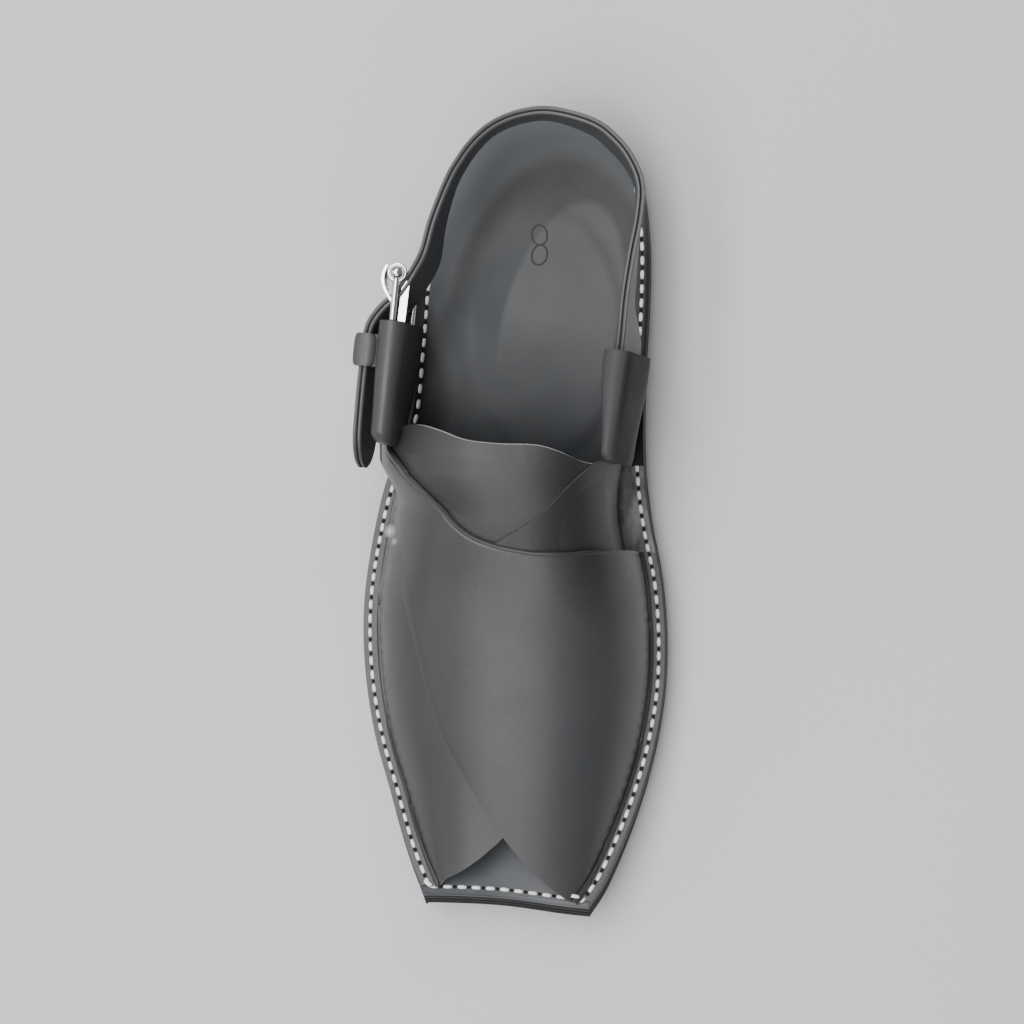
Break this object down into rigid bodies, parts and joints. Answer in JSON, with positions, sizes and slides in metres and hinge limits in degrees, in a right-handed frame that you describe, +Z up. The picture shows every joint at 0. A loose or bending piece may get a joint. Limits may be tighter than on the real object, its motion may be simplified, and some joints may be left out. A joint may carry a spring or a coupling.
{
  "type": "peshawari chappal",
  "caption": "Black leather slingback sandal with a crossed closed vamp, a blunt angled toe, a stacked flat sole and a buckled heel strap, for the right foot.",
  "frame": {"origin": "bottom centre of the whole sandal's box, on the ground", "axes": "+Z up, toe towards -Y, heel towards +Y, the foot's inner side towards +X and the buckle side towards -X"},
  "size_m": [0.1078, 0.2838, 0.0772],
  "materials": {
    "sole_rubber": "matt black rubber",
    "sole_leather": "black edge-dyed sole leather",
    "insole_leather": "semi-gloss dark grey leather",
    "upper_leather": "semi-gloss black leather",
    "strap_leather": "semi-gloss black leather",
    "chrome": "polished"
  },
  "bodies": {
    "root": {"outsole": "sole_rubber", "heel_lift": "sole_rubber", "midsole": "sole_leather", "insole": "insole_leather", "upper": "upper_leather", "heel_strap": "strap_leather", "keeper": "strap_leather", "buckle_frame": "chrome", "buckle_prong": "chrome"}
  },
  "joints": []
}
